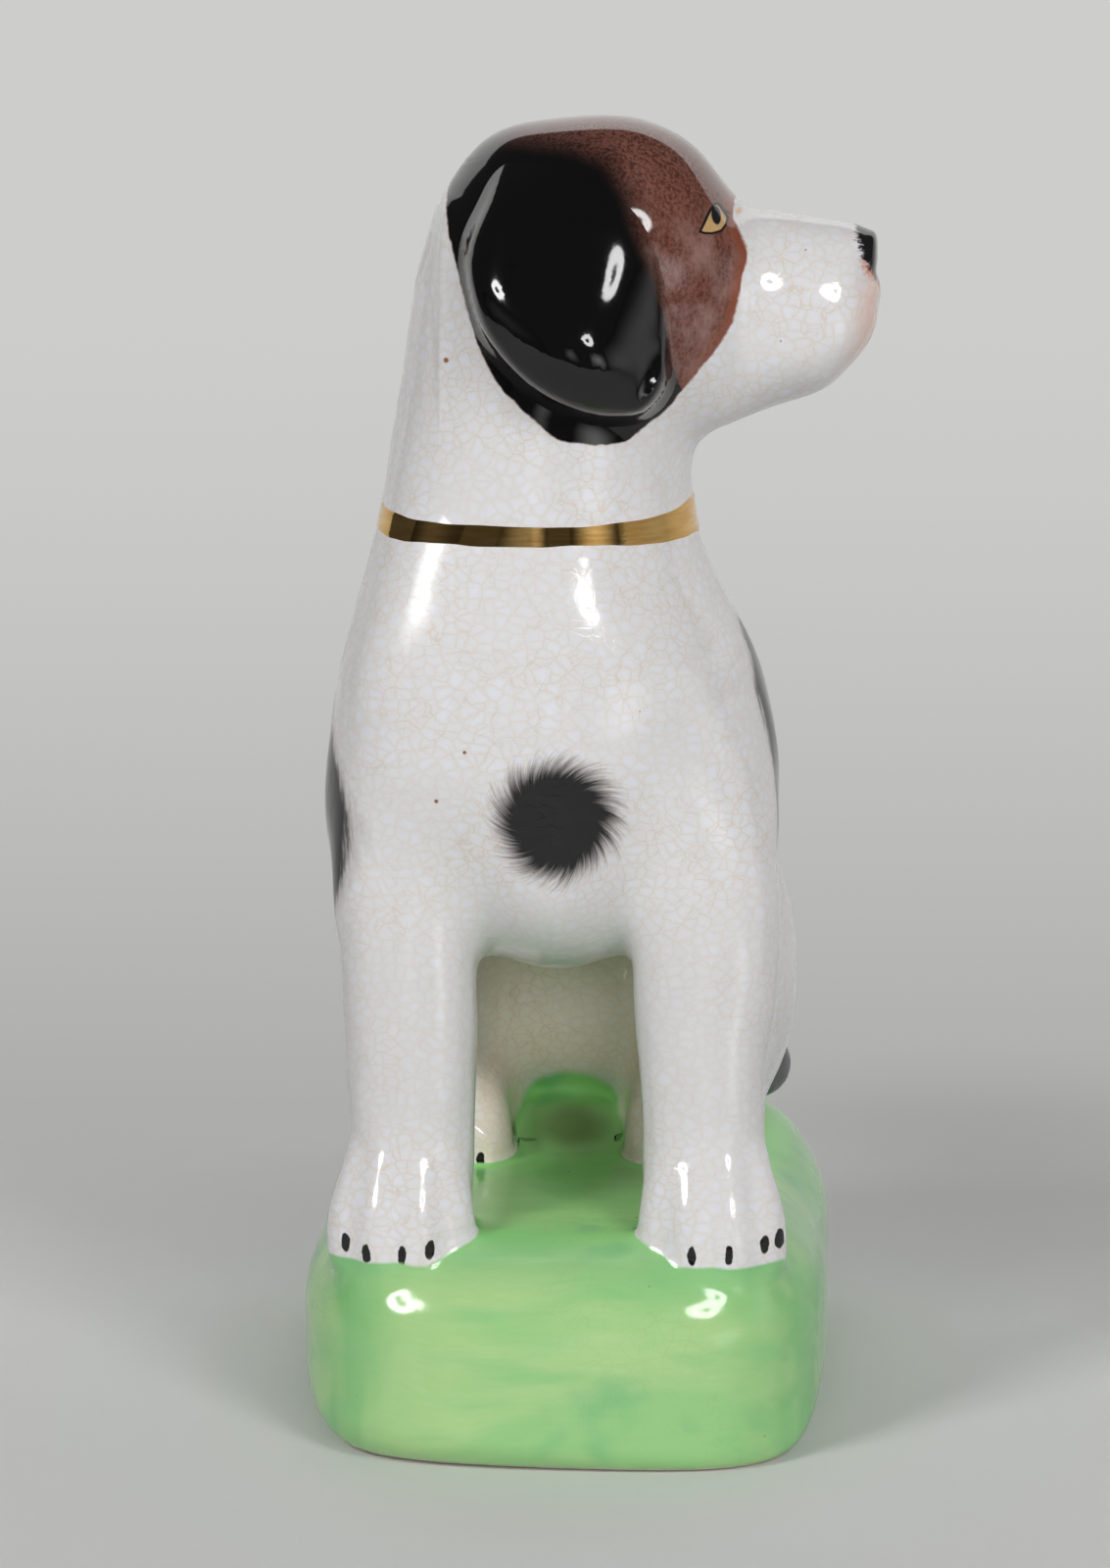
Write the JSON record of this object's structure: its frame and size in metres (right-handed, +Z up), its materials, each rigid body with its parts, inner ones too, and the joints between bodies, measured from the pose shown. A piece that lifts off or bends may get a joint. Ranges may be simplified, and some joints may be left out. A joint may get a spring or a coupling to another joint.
{
  "type": "staffordshire dog figure",
  "caption": "Seated glazed earthenware dog ornament with turned head, drop ears, painted spots and gilt collar, standing on a rounded green plinth.",
  "frame": {"origin": "centre of the plinth's flat underside", "axes": "+Z up; the dog's chest faces -Y; the head is turned to the dog's left, along +X"},
  "size_m": [0.0712, 0.096, 0.1662],
  "materials": {
    "white_glaze": "glossy crazed white lead glaze over earthenware, with painted enamel markings",
    "green_glaze": "glossy yellow-green glaze with darker brushed strokes",
    "black_glaze": "glossy black enamel under glaze",
    "bare_clay": "unglazed fired earthenware, matt",
    "slip_clay": "fired slip joint, matt",
    "gilt": "fired bright gilding, mirror-like"
  },
  "bodies": {
    "root": {"plinth_shell": "green_glaze", "plinth_floor": "bare_clay", "torso_right_half": "white_glaze", "torso_left_half": "white_glaze", "torso_seam_slip": "slip_clay", "head_right_half": "white_glaze", "head_left_half": "white_glaze", "head_seam_slip": "slip_clay", "neck_slip_ring": "slip_clay", "ear_right": "black_glaze", "ear_left": "black_glaze", "ear_slip_pads": "slip_clay", "foreleg_right": "white_glaze", "foreleg_left": "white_glaze", "foreleg_slip_joints": "slip_clay", "hind_foot_right": "white_glaze", "hind_foot_left": "white_glaze", "hind_foot_slip_joints": "slip_clay", "tail": "black_glaze", "tail_slip_joint": "slip_clay", "plinth_slip_bed": "slip_clay", "gilt_collar": "gilt"}
  },
  "joints": []
}
